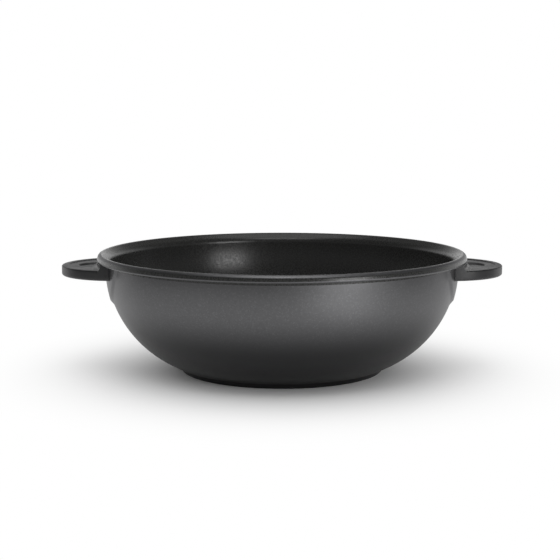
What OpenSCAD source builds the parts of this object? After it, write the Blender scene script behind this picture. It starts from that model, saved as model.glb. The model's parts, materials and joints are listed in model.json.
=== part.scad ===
// Cast nonstick wok with two side grips.
// The frame's origin is the centre of the foot, on the surface that the wok stands on.
// +Z is up, and the grips lie along X.

/* [Bowl] */
// Outer radius of the rim lip
rim_r = 180; // [170:0.5:190]
// Overall height from the foot to the top of the rim
bowl_h = 116; // [105:0.5:125]
// How far the lip stands out from the wall
lip_overhang = 8.9; // [7:0.1:11]
// Depth below the rim's top where the wall starts to curve in
belly_drop = 10.4; // [9.6:0.1:20]
// Thickness of the wall at its top
wall_t = 4.3; // [3.5:0.1:6]
// Thickness of the floor
base_t = 8; // [6:0.5:12]
// How far inside the foot's edge the wall's inner curve meets the floor
floor_inset = 1.7; // [0:0.1:6]
// Radius of the sweep from the floor to the wall, inside
floor_blend_r = 60; // [40:1:75]
// Thickness of the nonstick coating
coat_t = 0.3; // [0.2:0.05:0.6]

/* [Rim] */
// Height of the lip's outer face
lip_h = 7; // [6:0.1:9]
// Radius of the crest, from the lip's outer face over the top
crest_r = 4; // [3:0.1:4.6]
// How steeply the land falls from the crest to the inside
land_fall = 27; // [15:1:35]
// Radius of the lip's lower edge
lip_low_round = 1.4; // [0.6:0.1:1.7]
// Radius of the inner edge, from the land down to the wall
flare_r = 5; // [4:0.1:8]
// Radius of the fillet between the wall and the lip
lip_fillet = 1.2; // [0.8:0.1:2]

/* [Foot] */
// Height of the foot
foot_h = 5; // [3:0.1:7]
// Radius of the foot where it stands
foot_r = 99; // [90:0.5:115]
// How much larger the foot's radius is at its top
foot_flare = 2.6; // [2:0.1:6]
// Width of the chamfer on the foot's lower edge
foot_chamfer = 1; // [0.5:0.1:2]
// Width of the smooth contact ring at the foot's edge
contact_ring_w = 12; // [6:1:20]
// Distance from one turned groove to the next
groove_pitch = 9; // [6:0.5:14]
// Width of a turned groove
groove_w = 1.6; // [0.8:0.1:3]
// Depth of a turned groove
groove_depth = 0.5; // [0.2:0.1:1]
// Radius of the turned recess at the centre of the foot
centre_recess_r = 14; // [8:1:20]

/* [Grip seats] */
// How far a seat stands out from the wall at its top
seat_rise = 1.2; // [0.6:0.1:2]
// How much larger the seat's radius in section is than the wall's
seat_flatness = 22.4; // [8:0.1:40]
// Distance from the seat's outermost point in to the plane of its outline
seat_plane_in = 12.3; // [8:0.1:16]
// Distance from the seat's outermost point in to its inner end
seat_depth = 35; // [30:1:42]
// Half width of the seat's outline in that plane
seat_half_w = 69; // [60:0.5:80]
// Depth of the seat's outline below the rim's top, in that plane
seat_drop = 56.3; // [46:0.1:61]
// How much the outline grows for each millimetre nearer to the axis
seat_flare = 1.3; // [1.1:0.05:1.4]
// Length of the lug that carries a grip, from the seat's face
lug_l = 17.4; // [14:0.2:20]
// Width of the lug
lug_w = 44; // [36:1:48]
// Thickness of the lug
lug_t = 4; // [3:0.1:4.8]
// Radius of the lug's corners
lug_corner_r = 5; // [3:0.5:6]

/* [Grips] */
// How far a grip's tip stands out from the rim
grip_out = 35.5; // [30:0.1:42]
// Radius of a grip's round outline
grip_r = 56; // [50:0.1:60]
// Thickness of the grip plate
grip_t = 9.5; // [9:0.1:11]
// Depth of the grip's top below the rim's top
grip_drop = 12.6; // [11.4:0.1:14.5]
// Radius of the grip's upper edge
grip_top_round = 1.2; // [0.6:0.1:2]
// Radius of the grip's lower edge
grip_low_round = 2; // [1:0.1:3]
// Radius of the fillet between the grip's shoulder and its top
shoulder_fillet = 3; // [1.5:0.1:4]
// Width of the raised border round the grip's top
border_w = 6; // [4:0.5:9]
// Depth of the field inside that border
field_depth = 0.7; // [0.4:0.1:1.1]
// Radius of the round thumb recess in the field
thumb_r = 17.5; // [12:0.5:22]
// Depth of the thumb recess below the field
thumb_depth = 1.3; // [0.6:0.1:1.6]
// Distance from the thumb recess's centre to the grip's tip
thumb_setback = 33.2; // [28:0.2:37]
// Width of the slope at the edge of the field and of the thumb recess
slope_w = 1.2; // [0.6:0.1:2]
// Thickness of the grip below the lug, where the screw bears
web_t = 1.8; // [1.5:0.1:2.2]
// Radius of the screw boss under the grip
boss_r = 9.2; // [8:0.1:11]
// How far the screw's head sits inside the boss
head_inset = 0.3; // [0:0.1:1]

/* [Fasteners] */
// Nominal diameter of the screw
screw_d = 5; // [4:0.1:5]
// Diameter of the screw's head
head_d = 9.2; // [8:0.1:9.6]
// Height of the screw's head
head_h = 2.5; // [2:0.1:2.8]
// Height of the domed part of the head
head_dome = 0.9; // [0.4:0.1:1.2]
// Width of an arm of the head's cross recess
cross_w = 1.2; // [0.8:0.1:1.6]
// Length of the cross recess from tip to tip
cross_l = 5.2; // [4:0.1:6]
// Depth of the cross recess
cross_depth = 1.4; // [0.8:0.1:1.8]
// Outer diameter of the spring washer
washer_d = 8.8; // [8:0.1:9.4]
// Thickness of the spring washer
washer_t = 1.1; // [0.8:0.1:1.4]
// Width of the split in the spring washer
washer_split = 1; // [0.6:0.1:2]

/* [Clearances] */
// Gap between a grip and the bowl
grip_gap = 0.15; // [0.1:0.05:0.4]
// Gap between the lug and its pocket
pocket_gap = 0.2; // [0.1:0.05:0.4]
// Radial gap between the screw and the tapped hole
thread_gap = 0.05; // [0.03:0.01:0.1]
// Radial gap between the screw or washer and the grip's holes
hole_gap = 0.4; // [0.2:0.05:0.6]

/* [Hidden] */
$fn = 96;

// Overrun of every cut past the face that it opens
over = 1;

// Radius of an arc that starts upright and comes in by inwards over the height drop
function arc_radius(inwards, drop) = (inwards * inwards + drop * drop) / (2 * inwards);

// Section of the bowl, outside
wall_r = rim_r - lip_overhang;
lip_z = bowl_h - lip_h;
crest_c = [rim_r - crest_r, bowl_h - crest_r];
foot_top_r = foot_r + foot_flare;
belly_z = bowl_h - belly_drop;
belly_r = arc_radius(wall_r - foot_top_r, belly_z - foot_h);
belly_x = wall_r - belly_r;

// Section of the bowl, inside
throat_r = wall_r - wall_t;
land_up = [-sin(land_fall), cos(land_fall)];
flare_x = throat_r + flare_r;
flare_c = [flare_x, crest_c[1] + (crest_r - flare_r) / land_up[1]
                    - (crest_c[0] - flare_x) * tan(land_fall)];
floor_drop = belly_z - base_t;
inner_r = arc_radius(throat_r - foot_r + floor_inset, floor_drop);
inner_x = throat_r - inner_r;
blend_r = min(floor_blend_r, floor_drop);
sweep_reach = inner_r - blend_r;
sweep_drop = floor_drop - blend_r;
sweep_x = inner_x + sqrt(sweep_reach * sweep_reach - sweep_drop * sweep_drop);

// Turned underside
groove_out_r = foot_r - foot_chamfer - contact_ring_w;
groove_count = floor((groove_out_r - centre_recess_r) / groove_pitch);

// Seats and lugs
seat_r = wall_r + seat_rise;
seat_belly_r = belly_r + seat_flatness;
seat_x = seat_r - seat_belly_r;
seat_near_x = seat_r - seat_depth;
seat_far_x = seat_r + over;
seat_plane_x = seat_r - seat_plane_in;
seat_segments = 28;
lug_end_x = seat_r + lug_l;

// Places of a grip
grip_reach = rim_r + grip_out;
grip_top_z = bowl_h - grip_drop;
grip_low_z = grip_top_z - grip_t;
grip_x = grip_reach - grip_r;
thumb_x = grip_reach - thumb_setback;

// Stack at a screw, up and down from the level of the grip's underside
lug_z = grip_low_z + web_t + pocket_gap;
lug_top_z = lug_z + lug_t;
washer_z = grip_low_z - washer_t;
head_z = washer_z - head_h;
boss_z = head_z - head_inset;
screw_x = lug_end_x - boss_r + pocket_gap;
counterbore_r = head_d / 2 + hole_gap;
screw_hole_r = screw_d / 2 + hole_gap;
thread_hole_r = screw_d / 2 + thread_gap;

// Colours
iron_grey = [0.30, 0.30, 0.32];
coat_black = [0.13, 0.13, 0.13];
grip_black = [0.17, 0.17, 0.18];
steel = [0.75, 0.75, 0.77];

// A corner to be filled: a square with a quarter circle cut out, at the origin
module cove(r) {
    difference() {
        translate([-over, -over]) square(r + over);
        translate([r, r]) circle(r);
    }
}

// Outer half section of the bowl, filled in to the axis
module outer_section() {
    intersection() {
        union() {
            translate([belly_x, belly_z]) circle(belly_r);
            square([max(belly_x, over), belly_z]);
        }
        translate([0, foot_h]) square([rim_r, belly_z - foot_h]);
    }
    translate([0, belly_z]) square([wall_r, crest_c[1] - belly_z]);
    foot_section();
    lip_section();
    translate([wall_r, lip_z]) mirror([0, 1]) cove(lip_fillet);
}

// The foot, a low cone with a chamfered edge
module foot_section() {
    polygon([[0, 0], [foot_r - foot_chamfer, 0], [foot_r, foot_chamfer],
             [foot_top_r, foot_h], [foot_top_r - foot_chamfer, foot_h + foot_chamfer],
             [0, foot_h + foot_chamfer]]);
}

// The rim's lip, with its rounded crest and the land that falls from it to the inside
module lip_section() {
    translate([0, lip_z]) square([rim_r - lip_low_round, lip_h - crest_r]);
    translate([0, lip_z + lip_low_round]) square([rim_r, lip_h - lip_low_round - crest_r]);
    translate([rim_r - lip_low_round, lip_z + lip_low_round]) circle(lip_low_round);
    intersection() {
        union() {
            translate(crest_c) circle(crest_r);
            polygon([flare_c, crest_c, crest_c + crest_r * land_up, flare_c + flare_r * land_up]);
            intersection() {
                translate(flare_c) circle(flare_r);
                square([flare_x, bowl_h]);
            }
        }
        translate([0, crest_c[1]]) square([rim_r, crest_r]);
    }
}

// Half section of the space inside, grown on all sides by skin
module cavity_section(skin) {
    difference() {
        union() {
            intersection() {
                translate([inner_x, belly_z]) circle(inner_r + skin);
                translate([0, base_t - skin]) square([rim_r, floor_drop + skin]);
            }
            translate([0, base_t - skin]) square([max(inner_x, over), floor_drop + skin]);
            translate([0, belly_z]) square([throat_r + skin, bowl_h - belly_z + over]);
            polygon([[0, flare_c[1]], flare_c, flare_c + (flare_r - skin) * land_up,
                     crest_c + (crest_r - skin) * land_up, crest_c + (crest_r + over) * land_up,
                     [0, bowl_h + over]]);
        }
        translate(flare_c) circle(flare_r - skin);
        floor_corner(skin);
    }
}

// What fills the corner between floor and wall up to the sweep
module floor_corner(skin) {
    tip = inner_r + skin + over;
    unit = [sweep_x - inner_x, -sweep_drop] / sweep_reach;
    difference() {
        polygon([[sweep_x, base_t - skin - over], [sweep_x, base_t + blend_r],
                 [inner_x + unit[0] * tip, belly_z + unit[1] * tip],
                 [inner_x + unit[0] * tip, base_t - skin - over]]);
        translate([sweep_x, base_t + blend_r]) circle(blend_r + skin);
    }
}

// Turned grooves and centre recess of the underside
module underside_grooves() {
    for (i = [0 : groove_count - 1]) {
        r = groove_out_r - i * groove_pitch;
        translate([0, 0, -over])
            difference() {
                cylinder(h = groove_depth + over, r = r);
                translate([0, 0, -over]) cylinder(h = groove_depth + over * 3, r = r - groove_w);
            }
    }
    translate([0, 0, -over]) cylinder(h = groove_depth + over, r = centre_recess_r);
}

// Outline of a seat at distance x from the axis: half an ellipse that hangs from the rim's top
function seat_outline(x) =
    let (grow = (seat_plane_x - x) * seat_flare)
    [for (i = [0 : seat_segments])
        let (a = 180 * i / seat_segments)
        [(seat_half_w + grow) * cos(a), bowl_h - (seat_drop + grow) * sin(a)]];

// A thin slice of a seat's outline at distance x
module seat_slice(x) {
    translate([x, 0, 0]) rotate([90, 0, 90]) linear_extrude(over) polygon(seat_outline(x));
}

// The raised seat below the right grip, with its sloping edge
module seat() {
    intersection() {
        rotate_extrude()
            intersection() {
                translate([seat_x, belly_z]) circle(seat_belly_r);
                translate([seat_near_x - wall_t, 0]) square([seat_r, lip_z + over]);
            }
        hull() {
            seat_slice(seat_near_x);
            seat_slice(seat_far_x);
        }
    }
}

// A rectangle centred on the X axis from x1 to x2, with round corners at x2
module tongue_outline(x1, x2, w, r) {
    translate([x1, -w / 2]) square([x2 - r - x1, w]);
    translate([x1, -w / 2 + r]) square([x2 - x1, w - 2 * r]);
    for (side = [-1, 1]) translate([x2 - r, side * (w / 2 - r)]) circle(r);
}

// The lug of the right grip, with its tapped hole
module lug() {
    translate([0, 0, lug_z])
        linear_extrude(lug_t) tongue_outline(throat_r + wall_t / 2, lug_end_x, lug_w, lug_corner_r);
}

// The right and the mirrored left copy of what is made on the right
module both_sides() {
    children();
    mirror([1, 0, 0]) children();
}

module cast_bowl() {
    color(iron_grey)
        difference() {
            union() {
                rotate_extrude() outer_section();
                both_sides() seat();
                both_sides() lug();
            }
            rotate_extrude() cavity_section(coat_t);
            underside_grooves();
            both_sides()
                translate([screw_x, 0, lug_z - over]) cylinder(h = lug_t + 2 * over, r = thread_hole_r);
        }
}

module nonstick_coating() {
    color(coat_black)
        rotate_extrude()
            intersection() {
                difference() {
                    cavity_section(coat_t);
                    cavity_section(0);
                }
                square([rim_r, bowl_h]);
            }
}

// Section of a disc of radius r and height h, with rounded upper and lower edges
module disc_section(r, h, up, low) {
    square([r - low, h - up]);
    translate([0, low]) square([r, h - up - low]);
    translate([0, low]) square([r - up, h - low]);
    translate([r - low, low]) circle(low);
    translate([r - up, h - up]) circle(up);
}

// A round sinking of radius r and the given depth, whose side slopes
module sinking(r, depth) {
    translate([0, 0, -depth]) cylinder(h = depth, r1 = r - slope_w, r2 = r);
    cylinder(h = over, r = r);
}

// What the grip must stay clear of: the bowl's wall and seat, grown by the gap
module bowl_clearance() {
    rotate_extrude()
        intersection() {
            translate([seat_x, belly_z]) circle(seat_belly_r + grip_gap);
            square([rim_r, bowl_h]);
        }
}

// The shoulder that fills the space under the lip
module shoulder() {
    top_z = lip_z - grip_gap;
    intersection() {
        translate([grip_x, 0, grip_low_z + grip_low_round])
            cylinder(h = top_z - grip_low_z - grip_low_round, r = grip_r);
        union() {
            cylinder(h = top_z, r = rim_r);
            rotate_extrude() translate([rim_r, grip_top_z]) cove(shoulder_fillet);
        }
    }
}

// The boss that holds the screw's head
module screw_boss() {
    h = grip_low_z + grip_t / 2 - boss_z;
    translate([screw_x, 0, boss_z]) cylinder(h = h, r = boss_r);
    translate([wall_r, -boss_r, boss_z]) cube([screw_x - wall_r, 2 * boss_r, h]);
}

// The right grip
module grip() {
    difference() {
        union() {
            translate([grip_x, 0, grip_low_z])
                rotate_extrude() disc_section(grip_r, grip_t, grip_top_round, grip_low_round);
            shoulder();
            screw_boss();
        }
        bowl_clearance();
        // Only what lies on the outer side of the bowl belongs to the grip
        translate([grip_x - 2 * grip_r, -grip_r - over, 0])
            cube([2 * grip_r, 2 * (grip_r + over), bowl_h]);
        difference() {
            union() {
                translate([grip_x, 0, grip_top_z]) sinking(grip_r - border_w, field_depth);
                translate([thumb_x, 0, grip_top_z - field_depth]) sinking(thumb_r, thumb_depth);
            }
            cylinder(h = bowl_h, r = rim_r + shoulder_fillet);
        }
        translate([0, 0, lug_z - pocket_gap])
            linear_extrude(lug_t + 2 * pocket_gap)
                tongue_outline(throat_r, lug_end_x + pocket_gap, lug_w + 2 * pocket_gap,
                               lug_corner_r + pocket_gap);
        translate([screw_x, 0, boss_z - over])
            cylinder(h = grip_low_z - boss_z + over, r = counterbore_r);
        translate([screw_x, 0, grip_low_z - over])
            cylinder(h = web_t + over * 2, r = screw_hole_r);
    }
}

module right_grip() {
    color(grip_black) grip();
}

module left_grip() {
    color(grip_black) mirror([1, 0, 0]) grip();
}

// Pan-head screw with a cross recess, its head downwards
module screw() {
    dome_r = (head_d * head_d / 4 + head_dome * head_dome) / (2 * head_dome);
    difference() {
        union() {
            translate([screw_x, 0, head_z])
                intersection() {
                    cylinder(h = head_h, d = head_d);
                    translate([0, 0, dome_r]) sphere(dome_r);
                }
            translate([screw_x, 0, head_z + head_h])
                cylinder(h = lug_top_z - head_z - head_h, d = screw_d);
        }
        for (turn = [0, 90])
            translate([screw_x, 0, head_z]) rotate([0, 0, turn])
                translate([-cross_l / 2, -cross_w / 2, -over]) cube([cross_l, cross_w, cross_depth + over]);
    }
}

module right_grip_screw() {
    color(steel) screw();
}

module left_grip_screw() {
    color(steel) mirror([1, 0, 0]) screw();
}

// Split spring washer, pressed flat
module washer() {
    bore_r = screw_d / 2 + hole_gap / 2;
    translate([screw_x, 0, washer_z])
        difference() {
            cylinder(h = washer_t, d = washer_d);
            translate([0, 0, -over]) cylinder(h = washer_t + 2 * over, r = bore_r);
            translate([0, -washer_split / 2, -over])
                cube([washer_d, washer_split, washer_t + 2 * over]);
        }
}

module right_spring_washer() {
    color(steel) washer();
}

module left_spring_washer() {
    color(steel) mirror([1, 0, 0]) washer();
}

cast_bowl();
nonstick_coating();
right_grip();
left_grip();
right_grip_screw();
left_grip_screw();
right_spring_washer();
left_spring_washer();
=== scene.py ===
import json
import math

import bmesh
import bpy
from bpy.props import FloatProperty, FloatVectorProperty, IntProperty, PointerProperty
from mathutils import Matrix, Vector

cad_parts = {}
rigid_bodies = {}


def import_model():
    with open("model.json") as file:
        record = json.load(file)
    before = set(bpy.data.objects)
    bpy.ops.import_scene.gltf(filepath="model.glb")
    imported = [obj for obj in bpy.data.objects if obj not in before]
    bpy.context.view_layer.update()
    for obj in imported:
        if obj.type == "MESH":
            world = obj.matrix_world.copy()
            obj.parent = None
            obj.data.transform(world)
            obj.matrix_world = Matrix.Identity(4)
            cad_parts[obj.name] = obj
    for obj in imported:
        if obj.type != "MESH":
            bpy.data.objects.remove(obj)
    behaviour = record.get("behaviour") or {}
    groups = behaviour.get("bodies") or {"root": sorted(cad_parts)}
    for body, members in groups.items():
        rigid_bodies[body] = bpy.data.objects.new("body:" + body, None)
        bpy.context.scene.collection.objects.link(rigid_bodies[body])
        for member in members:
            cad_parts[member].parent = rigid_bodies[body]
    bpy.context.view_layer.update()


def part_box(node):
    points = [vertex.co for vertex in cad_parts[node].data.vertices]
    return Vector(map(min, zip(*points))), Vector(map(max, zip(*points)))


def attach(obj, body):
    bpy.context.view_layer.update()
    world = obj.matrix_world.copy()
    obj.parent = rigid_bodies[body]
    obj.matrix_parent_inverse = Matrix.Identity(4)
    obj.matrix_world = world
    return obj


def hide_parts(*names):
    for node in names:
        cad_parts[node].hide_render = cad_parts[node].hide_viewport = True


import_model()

bl_info = {
    "name": "Cast nonstick wok",
    "version": (1, 0),
    "blender": (4, 5, 0),
    "location": "3D View > Sidebar > Wok",
    "description": "Dresses the solid model of a cast wok with two moulded grips",
    "category": "Object",
}

MM = 0.001
_, BOWL_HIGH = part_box("cast_bowl")
GRIP_LOW, GRIP_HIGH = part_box("right_grip")
SCREW_LOW, SCREW_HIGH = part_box("right_grip_screw")
SCREW_X = (SCREW_LOW.x + SCREW_HIGH.x) / 2

WELD, SHORT = 2e-6, 1e-6  # points this near become one, edges this short dissolve
ON_AXIS = 1e-7  # points nearer to the axis lie on it
OVERRUN = 1 * MM  # how far a cut runs past the face that it opens
COAT, BARE, LINING = range(3)  # the bowl's material slots


# ---- properties

def amount(name, description, default, low, high, **kind):
    return FloatProperty(name=name, description=description, default=default, min=low,
                         max=high, **kind)


def length(name, description, default, low=0.0, high=1.0):
    return amount(name, description, default, low, high, subtype="DISTANCE",
                  unit="LENGTH", precision=5)


def rotation(name, description, default):
    return FloatProperty(name=name, description=description, default=default,
                         subtype="ANGLE", unit="ROTATION")


def tint(name, description, default):
    return FloatVectorProperty(name=name, description=description, default=default,
                               size=3, min=0.0, max=1.0, subtype="COLOR")


class WokBowlSizes(bpy.types.PropertyGroup):
    """Sizes of the casting and its lining"""
    rim_r: length("Rim radius", "Outer radius of the rim lip", BOWL_HIGH.y)
    height: length("Height", "From the foot to the top of the rim", BOWL_HIGH.z)
    overhang: length("Lip overhang", "How far the lip stands out from the wall", 8.9 * MM)
    belly_drop: length("Belly drop", "Depth below the rim where the wall curves in", 10.4 * MM)
    wall_t: length("Wall", "Thickness of the wall at its top", 4.3 * MM)
    base_t: length("Floor", "Thickness of the floor", 8 * MM)
    lip_h: length("Lip height", "Height of the lip's outer face", 6.7 * MM)
    lip_lean: rotation("Lip lean", "How far the outer face leans in", math.radians(13))
    crest_r: length("Crest", "Radius from the lip's outer face over the top", 4 * MM)
    land_fall: rotation("Land fall", "How steeply the land falls inwards", math.radians(38))
    lip_low_round: length("Lip's lower edge", "Radius of that edge", 1.4 * MM)
    lip_fillet: length("Lip fillet", "Radius between the wall and the lip", 1.2 * MM)
    flare_r: length("Inner edge", "Radius from the land down to the wall", 8 * MM)
    foot_r: length("Foot radius", "Where it stands", 99 * MM)
    foot_flare: length("Foot flare", "How much wider the foot is at its top", 2.6 * MM)
    foot_h: length("Foot height", "Height of the foot", 5 * MM)
    sweep_r: length("Floor sweep", "Radius from the floor to the wall, inside", 60 * MM)
    coat_t: length("Lining", "Thickness of the nonstick lining", 0.3 * MM)
    seat_rise: length("Seat rise", "How far a seat stands out at its top", 1.2 * MM)
    seat_flatness: length("Seat flatness", "Seat's radius in section over the wall's", 22.4 * MM)
    seat_half_w: length("Seat half width", "Half width of a seat's outline", 69 * MM)
    seat_drop: length("Seat drop", "Depth of a seat's outline below the rim", 56.3 * MM)
    steps: IntProperty(name="Steps", description="Steps round the bowl", default=720,
                       min=48, max=1440)


class WokGripSizes(bpy.types.PropertyGroup):
    """Sizes of a grip and its fasteners"""
    reach: length("Reach", "From the bowl's axis to a grip's tip", GRIP_HIGH.x)
    outline_r: length("Outline radius", "Radius of the round outline", 56 * MM)
    top: length("Top", "Height of the grip's top above the foot", 103.4 * MM)
    plate_t: length("Thickness", "Thickness of the plate", 9.5 * MM)
    gap: length("Gap", "Gap between the grip and the bowl", 0.15 * MM)
    top_round: length("Upper edge", "Radius of that edge", 1.2 * MM)
    low_round: length("Lower edge", "Radius of that edge", 2 * MM)
    fillet: length("Shoulder fillet", "Between the shoulder and the top", 3 * MM)
    border: length("Border", "Width of the raised border", 6 * MM)
    field: length("Field depth", "Depth of the field inside the border", 0.7 * MM)
    thumb_r: length("Thumb recess", "Radius of the thumb recess", 17.5 * MM)
    thumb_depth: length("Thumb depth", "Depth of the thumb recess below the field", 1.3 * MM)
    thumb_back: length("Thumb setback", "From its centre to the tip", 33.2 * MM)
    boss_r: length("Boss radius", "Radius of the screw boss", 9.2 * MM)
    screw_d: length("Screw", "Nominal diameter of the screw", 5 * MM)
    pitch: length("Thread pitch", "From one turn of the thread to the next", 0.8 * MM)


class WokFinish(bpy.types.PropertyGroup):
    """Colours and surfaces"""
    coat: tint("Outer coat", "Metallic anthracite coat on the casting", (0.113, 0.113, 0.116))
    flake: tint("Flakes", "Metal flakes in the coats", (0.135, 0.135, 0.139))
    lining: tint("Lining", "Nonstick lining", (0.0235, 0.0235, 0.0225))
    plastic: tint("Grip plastic", "Moulded grips", (0.013, 0.013, 0.014))
    bare: tint("Bare metal", "Turned face under the foot", (0.62, 0.62, 0.61))
    steel: tint("Steel", "Screws and washers", (0.56, 0.56, 0.55))
    flake_share: amount("Flake share", "Share of the outer coat that is flakes", 0.16, 0, 1)


class WokStudio(bpy.types.PropertyGroup):
    """Camera, light and floor"""
    distance: length("Camera distance", "From the bowl's axis, level", 1.3, 0.1, 10)
    height: length("Camera height", "Above the floor", 0.2691, 0, 10)
    lens: amount("Lens", "Focal length in millimetres", 85.80, 10, 300)
    turn: rotation("Turn", "How far the camera stands to the right", 0.0)
    aim: rotation("Aim", "How far the camera looks to the left", 0.0015)
    pitch: rotation("Pitch", "How far the camera looks down", math.radians(7.954))
    floor: tint("Floor", "Colour of the floor", (0.93, 0.93, 0.93))
    dome: amount("Dome", "Brightness of the surroundings", 0.65, 0, 4)
    top: amount("Top", "Power of the softbox overhead", 3.2, 0, 200)
    front_top: amount("Front top", "Power of the softbox high in front", 4.4, 0, 200)
    right: amount("Right", "Power of the low softbox on the right", 13.0, 0, 200)
    # painted pool of light: a glow on the floor, seen only in reflections
    pool: amount("Pool", "Brightness of the pool of light on the floor", 1.7, 0, 9)
    front: amount("Front", "Brightness of the room in front, as reflected", 0.22, 0, 4)


# ---- mesh helpers

def spread(start, end, steps):
    """Numbers from start to end, in even steps."""
    return [start + (end - start) * i / steps for i in range(steps + 1)]


def arc(cx, cz, r, start, end, steps):
    """Points along an arc in section, from one angle in degrees to another."""
    turns = [math.radians(a) for a in spread(start, end, steps)]
    return [(cx + r * math.cos(a), cz + r * math.sin(a)) for a in turns]


def smooth(t):
    """Eases from 0 to 1 while t goes from 0 to 1."""
    t = min(max(t, 0.0), 1.0)
    return t * t * (3 - 2 * t)


def arc_radius(inwards, drop):
    """Radius of an arc that starts upright and comes in by inwards over drop."""
    return (inwards * inwards + drop * drop) / (2 * inwards)


def tidy_mesh(mesh, sharp=35.0):
    """Welds a mesh and shades it smooth, with sharp edges past an angle in degrees."""
    bm = bmesh.new()
    bm.from_mesh(mesh)
    bmesh.ops.remove_doubles(bm, verts=bm.verts, dist=WELD)
    bmesh.ops.dissolve_degenerate(bm, edges=bm.edges, dist=SHORT)
    bmesh.ops.recalc_face_normals(bm, faces=bm.faces)
    bm.to_mesh(mesh)
    bm.free()
    mesh.validate()
    mesh.polygons.foreach_set("use_smooth", [True] * len(mesh.polygons))
    mesh.set_sharp_from_angle(angle=math.radians(sharp))
    mesh.update()


def add_object(name, data, place=(0, 0, 0), turned=(0, 0, 0)):
    obj = bpy.data.objects.new(name, data)
    obj.location, obj.rotation_euler = place, turned
    bpy.context.scene.collection.objects.link(obj)
    return obj


def make_object(name, verts, faces, sharp=35.0):
    """An object in the scene, with a tidied mesh."""
    mesh = bpy.data.meshes.new(name)
    mesh.from_pydata(verts, [], faces)
    tidy_mesh(mesh, sharp)
    return add_object(name, mesh)


def revolved(name, profile, steps, shift=None, x=0.0, sharp=35.0):
    """An object whose section is turned about an upright axis at x.
    shift(index, r, z, angle) may move a point outwards."""
    verts, rings, faces = [], [], []
    for k, (r, z) in enumerate(profile):
        if r < ON_AXIS:
            rings.append([len(verts)] * steps)
            verts.append((x, 0.0, z))
            continue
        start = len(verts)
        for j in range(steps):
            a = 2 * math.pi * j / steps
            out = r + (shift(k, r, z, a) if shift else 0.0)
            verts.append((x + out * math.cos(a), out * math.sin(a), z))
        rings.append(list(range(start, start + steps)))
    for a, b in zip(rings, rings[1:]):
        for j in range(steps):
            n = (j + 1) % steps
            face = tuple(dict.fromkeys((a[j], a[n], b[n], b[j])))
            if len(face) > 2:
                faces.append(face)
    return make_object(name, verts, faces, sharp)


def tube_faces(count, steps):
    """Faces of a closed section of count points carried along in steps, with capped ends."""
    sides = [(i, (i + 1) % count, count + (i + 1) % count, count + i) for i in range(count)]
    faces = [tuple(start + i for i in side)
             for start in range(0, steps * count, count) for side in sides]
    caps = (range(count - 1, -1, -1), range(steps * count, (steps + 1) * count))
    return faces + [tuple(cap) for cap in caps]


def cut(obj, tool, how="DIFFERENCE"):
    """Cuts tool from obj or joins it on, and removes the tool."""
    mod = obj.modifiers.new("cut", "BOOLEAN")
    mod.operation = how
    mod.object = tool
    mod.solver = "MANIFOLD"
    dg = bpy.context.evaluated_depsgraph_get()
    mesh = bpy.data.meshes.new_from_object(obj.evaluated_get(dg))
    obj.modifiers.remove(mod)
    spent = (tool, tool.data, obj.data)
    obj.data = mesh
    bpy.data.batch_remove(spent)
    return obj


def dress(obj, node, slot, *materials):
    """Puts a piece in place of a node, with its materials."""
    obj.data.materials.clear()
    for material in materials:
        obj.data.materials.append(material)
    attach(obj, "root")
    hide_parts(node)


def dress_pair(piece, node, slot, material):
    """Dresses a piece on the right, and a mirrored copy of it on the left."""
    mesh = piece.data.copy()
    mesh.name = piece.name.replace("right", "left")
    for v in mesh.vertices:
        v.co.x = -v.co.x
    mesh.flip_normals()
    mesh.update()
    dress(piece, "right_" + node, slot, material)
    dress(add_object(mesh.name, mesh), "left_" + node, slot, material)


# ---- shader helpers

def feed(tree, value, socket):
    """Sets a socket to a number, or links another socket to it."""
    if isinstance(value, (int, float)):
        socket.default_value = value
    else:
        tree.links.new(value, socket)


def maths(tree, how, *values, clamp=False):
    node = tree.nodes.new("ShaderNodeMath")
    node.operation = how
    node.use_clamp = clamp
    for value, socket in zip(values, node.inputs):
        feed(tree, value, socket)
    return node.outputs[0]


def product(tree, *values, clamp=False):
    return maths(tree, "MULTIPLY", *values, clamp=clamp)


def total(tree, *values, clamp=False):
    return maths(tree, "ADD", *values, clamp=clamp)


def ramp(tree, value, low, high, to_low=0.0, to_high=1.0):
    """Goes smoothly from to_low to to_high while value goes from low to high."""
    node = tree.nodes.new("ShaderNodeMapRange")
    node.interpolation_type = "SMOOTHSTEP"
    for label, number in (("From Min", low), ("From Max", high), ("To Min", to_low),
                          ("To Max", to_high), ("Value", value)):
        feed(tree, number, node.inputs[label])
    return node.outputs["Result"]


def object_place(tree):
    return tree.nodes.new("ShaderNodeTexCoord").outputs["Object"]


def axes(tree, place):
    """The X, Y and Z of a place or direction, by name."""
    split = tree.nodes.new("ShaderNodeSeparateXYZ")
    feed(tree, place, split.inputs[0])
    return split.outputs


def distance_from(tree, centre):
    node = tree.nodes.new("ShaderNodeVectorMath")
    node.operation = "DISTANCE"
    feed(tree, object_place(tree), node.inputs[0])
    node.inputs[1].default_value = centre
    return node.outputs["Value"]


def preset(node, **values):
    """A node with values for its sockets. An underscore stands for a space."""
    for label, value in values.items():
        node.inputs[label.replace("_", " ")].default_value = value
    return node


def noise(tree, size, detail=3.0, roughness=0.55, place=None):
    node = preset(tree.nodes.new("ShaderNodeTexNoise"), Detail=detail, Roughness=roughness)
    feed(tree, place or object_place(tree), node.inputs["Vector"])
    feed(tree, maths(tree, "DIVIDE", 1.0, size), node.inputs["Scale"])
    return node.outputs["Fac"]


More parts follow.
